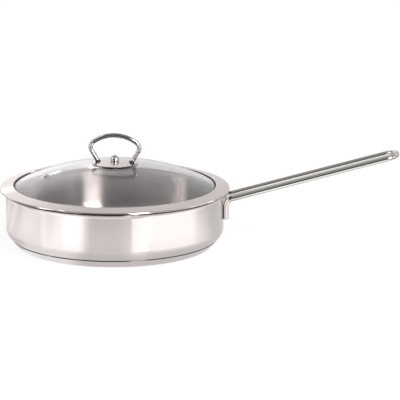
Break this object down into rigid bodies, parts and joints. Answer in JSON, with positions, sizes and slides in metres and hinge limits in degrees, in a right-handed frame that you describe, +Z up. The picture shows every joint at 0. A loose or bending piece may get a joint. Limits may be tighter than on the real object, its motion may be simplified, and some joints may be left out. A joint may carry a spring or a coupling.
{
  "type": "frying pan with lid",
  "caption": "Low straight-sided steel frying pan with a sandwich base, a bent-rod hairpin handle and a domed glass lid in a wide steel band with a wire loop knob.",
  "frame": {"origin": "centre of the round face that the pan stands on", "axes": "+Z up along the axis of the pan, +X towards the tip of the handle, +Y across"},
  "size_m": [0.4423, 0.2546, 0.1243],
  "materials": {
    "polished_steel": "polished",
    "satin_steel": "satin",
    "aluminium": "cast",
    "clear_glass": "polished",
    "silicone": "matte"
  },
  "bodies": {
    "pan": {"pan_shell": "polished_steel", "base_core": "aluminium", "base_cap": "polished_steel", "handle_rod": "polished_steel"},
    "lid": {"lid_glass": "clear_glass", "lid_band": "satin_steel", "glass_seat": "silicone", "vent_eyelet": "polished_steel", "knob_plate": "polished_steel", "knob_loop": "polished_steel", "cap_nut": "polished_steel", "knob_screw": "satin_steel", "upper_pad": "silicone", "lower_pad": "silicone", "steel_washer": "satin_steel"}
  },
  "joints": [
    {"name": "lid_lift", "type": "slide", "parent": "pan", "child": "lid", "axis": [0, 0, 1], "range_m": [0, 0.12]}
  ]
}
